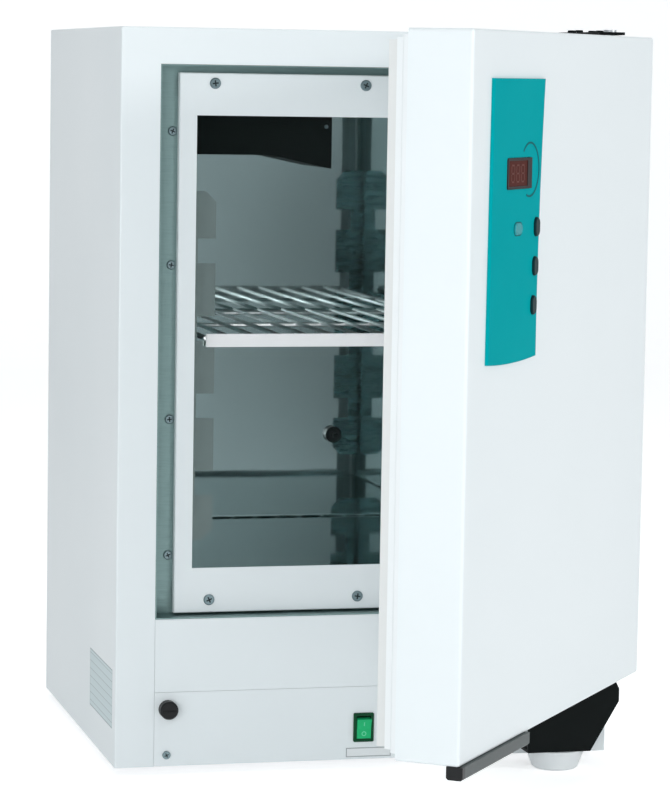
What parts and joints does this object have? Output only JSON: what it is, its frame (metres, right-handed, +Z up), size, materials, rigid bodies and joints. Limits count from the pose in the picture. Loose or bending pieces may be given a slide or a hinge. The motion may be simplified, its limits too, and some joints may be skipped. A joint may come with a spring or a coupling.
{
  "type": "laboratory incubator",
  "caption": "Bench incubator: white steel cabinet, polished chamber with a wire shelf, glazed inner door, thick insulated outer door with controls.",
  "frame": {"origin": "on the floor, in the middle of the sole of the white foot at the right front", "axes": "+X to the right seen from the front, +Y to the back, +Z up; the door is on the -Y side"},
  "size_m": [0.578, 0.9701, 0.8136],
  "materials": {
    "white_paint": "satin",
    "white_plastic": "satin",
    "polished_steel": "polished",
    "plain_steel": "satin",
    "bright_wire": "polished",
    "screw_steel": "satin",
    "zinc_steel": "satin",
    "black_paint": "satin",
    "black_plastic": "satin",
    "dark_bar": "satin",
    "glass": "gloss",
    "seal_rubber": "matte",
    "inner_seal_rubber": "matte",
    "mineral_wool": "matte",
    "teal_plastic": "satin",
    "display_red": "gloss",
    "lamp_lens": "gloss",
    "switch_green_dark": "gloss",
    "switch_green": "gloss",
    "circuit_board": "satin",
    "heater_silicone": "matte",
    "brass_bush": "satin",
    "magnet_block": "satin"
  },
  "bodies": {
    "cabinet": {"outer_shell": "white_paint", "base_panel": "zinc_steel", "control_panel": "white_paint", "front_fascia": "white_paint", "back_panel": "zinc_steel", "recess_frame": "plain_steel", "chamber_liner": "polished_steel", "chamber_insulation": "mineral_wool", "shelf_strip_front_left": "polished_steel", "shelf_strip_front_right": "polished_steel", "shelf_strip_rear_left": "polished_steel", "shelf_strip_rear_right": "polished_steel", "wire_shelf": "bright_wire", "shelf_front_band": "bright_wire", "fan_housing": "black_paint", "fan_motor": "zinc_steel", "temperature_sensor": "black_plastic", "heater_mat": "heater_silicone", "switch_body": "switch_green_dark", "fuse_holder": "black_plastic", "power_board": "circuit_board", "mains_inlet": "black_plastic", "inner_hinge_brackets": "zinc_steel", "upper_hinge_bracket": "black_paint", "lower_hinge_bracket": "black_paint", "upper_hinge_pin": "zinc_steel", "lower_hinge_pin": "zinc_steel", "front_right_foot": "white_plastic", "levelling_feet": "black_plastic", "control_panel_screws": "screw_steel", "recess_frame_screws": "screw_steel", "hinge_bracket_screws": "black_paint", "back_panel_screws": "screw_steel"},
    "outer_door": {"outer_door_shell": "white_paint", "outer_door_inner_panel": "white_plastic", "door_insulation": "mineral_wool", "gasket_retainer": "white_plastic", "door_gasket": "seal_rubber", "door_grip": "dark_bar", "grip_end_cap": "black_plastic", "control_strip": "teal_plastic", "display_window": "display_red", "indicator_lens": "lamp_lens", "display_board": "circuit_board", "upper_hinge_bush": "brass_bush", "lower_hinge_bush": "brass_bush"},
    "set_button": {"button_set": "black_plastic"},
    "up_button": {"button_up": "black_plastic"},
    "down_button": {"button_down": "black_plastic"},
    "inner_door": {"inner_door_frame": "white_paint", "inner_door_glass": "glass", "glass_clamps": "zinc_steel", "inner_door_seal": "inner_seal_rubber", "inner_door_magnets": "magnet_block", "inner_hinge_knuckles": "zinc_steel", "inner_door_screws": "screw_steel"},
    "power_rocker": {"switch_rocker": "switch_green"},
    "fuse_carrier": {"fuse_cap": "black_plastic", "glass_fuse": "glass"},
    "fan_rotor": {"fan_impeller": "black_plastic"}
  },
  "joints": [
    {"name": "outer_door_hinge", "type": "hinge", "parent": "cabinet", "child": "outer_door", "pos_m": [0.039, -0.014, 0.46], "axis": [0, 0, 1], "range_deg": [-53, 62]},
    {"name": "inner_door_hinge", "type": "hinge", "parent": "cabinet", "child": "inner_door", "pos_m": [-0.0015, 0.0575, 0.467], "axis": [0, 0, 1], "range_deg": [0, 50]},
    {"name": "set_button_press", "type": "slide", "parent": "outer_door", "child": "set_button", "axis": [-0.7986, 0.6018, 0], "range_m": [0, 0.0015], "stiffness_N_per_m": 400, "springref_m": -0.001},
    {"name": "up_button_press", "type": "slide", "parent": "outer_door", "child": "up_button", "axis": [-0.7986, 0.6018, 0], "range_m": [0, 0.0015], "stiffness_N_per_m": 400, "springref_m": -0.001},
    {"name": "down_button_press", "type": "slide", "parent": "outer_door", "child": "down_button", "axis": [-0.7986, 0.6018, 0], "range_m": [0, 0.0015], "stiffness_N_per_m": 400, "springref_m": -0.001},
    {"name": "power_rocker_tilt", "type": "hinge", "parent": "cabinet", "child": "power_rocker", "pos_m": [-0.21075, 0.041, 0.0442], "axis": [-1, 0, 0], "range_deg": [0, 16]},
    {"name": "fuse_carrier_turn", "type": "hinge", "parent": "cabinet", "child": "fuse_carrier", "pos_m": [-0.4315, 0.028, 0.072], "axis": [0, -1, 0], "range_deg": [0, 90]},
    {"name": "fan_spin", "type": "hinge", "parent": "cabinet", "child": "fan_rotor", "pos_m": [-0.239, 0.441, 0.6905], "axis": [0, 1, 0], "continuous": true}
  ]
}
